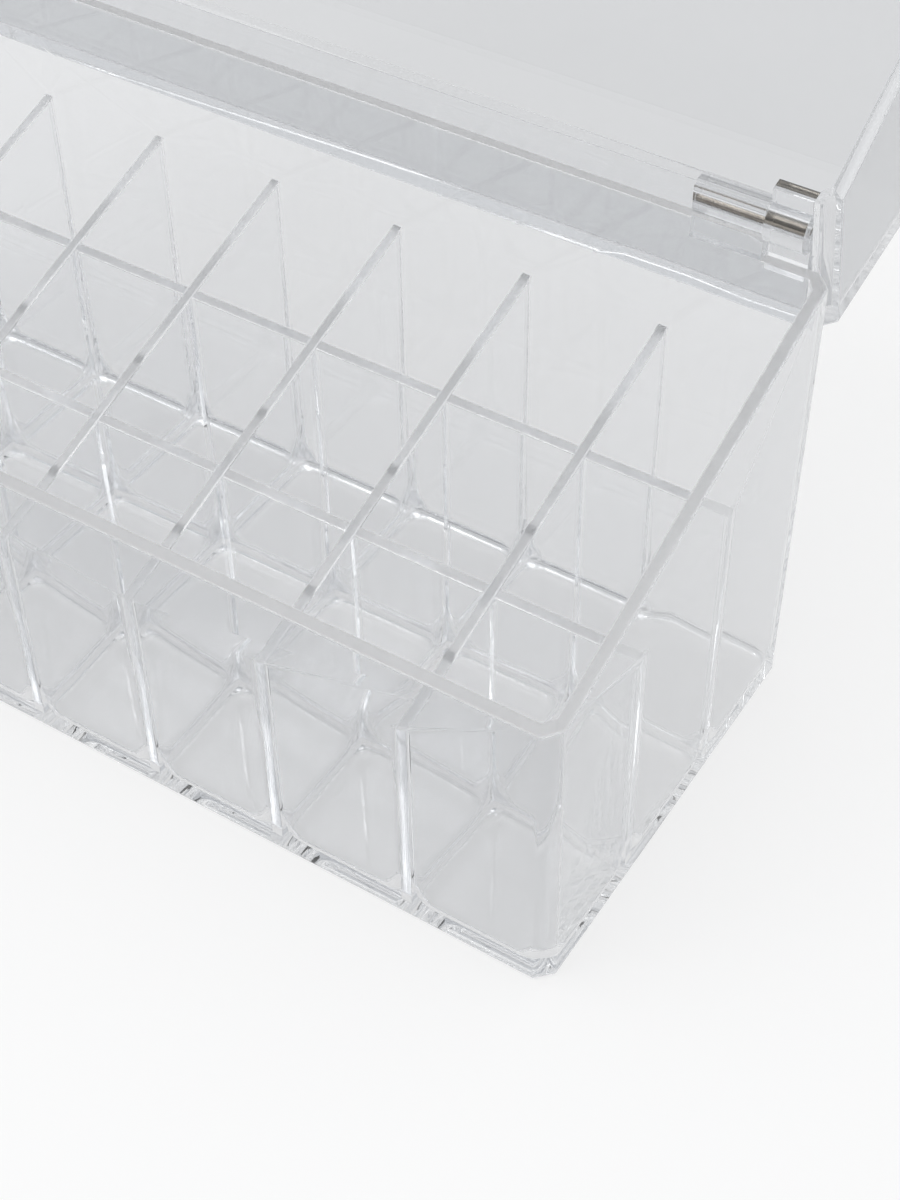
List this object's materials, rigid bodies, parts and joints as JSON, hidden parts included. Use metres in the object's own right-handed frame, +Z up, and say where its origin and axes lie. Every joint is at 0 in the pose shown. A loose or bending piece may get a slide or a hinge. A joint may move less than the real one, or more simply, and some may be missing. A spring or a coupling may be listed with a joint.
{
  "type": "lipstick organizer",
  "caption": "Clear acrylic lipstick organizer: an open tray split into standing cells by slotted dividers, with a hinged clear dust lid that swings back to a stop.",
  "frame": {"origin": "on the table, at the centre of the tray's rectangular footprint", "axes": "+X to the right along the row of columns, +Y to the rear where the lid is hinged, +Z up; the lid stands open at rest"},
  "size_m": [0.2188, 0.1746, 0.1487],
  "materials": {
    "clear_acrylic": "clear, polished",
    "steel_pin": "plain ground steel"
  },
  "bodies": {
    "tray": {"tray_shell": "clear_acrylic", "cross_divider_1": "clear_acrylic", "cross_divider_2": "clear_acrylic", "cross_divider_3": "clear_acrylic", "cross_divider_4": "clear_acrylic", "cross_divider_5": "clear_acrylic", "cross_divider_6": "clear_acrylic", "cross_divider_7": "clear_acrylic", "long_divider_front": "clear_acrylic", "long_divider_rear": "clear_acrylic", "tray_knuckle_left": "clear_acrylic", "tray_knuckle_right": "clear_acrylic", "hinge_pin_left": "steel_pin", "hinge_pin_right": "steel_pin"},
    "lid": {"lid_shell": "clear_acrylic", "lid_knuckle_left": "clear_acrylic", "lid_knuckle_right": "clear_acrylic"}
  },
  "joints": [
    {"name": "lid_hinge", "type": "hinge", "parent": "tray", "child": "lid", "pos_m": [0, 0.043, 0.0974], "axis": [1, 0, 0], "range_deg": [0, 168.5]}
  ]
}
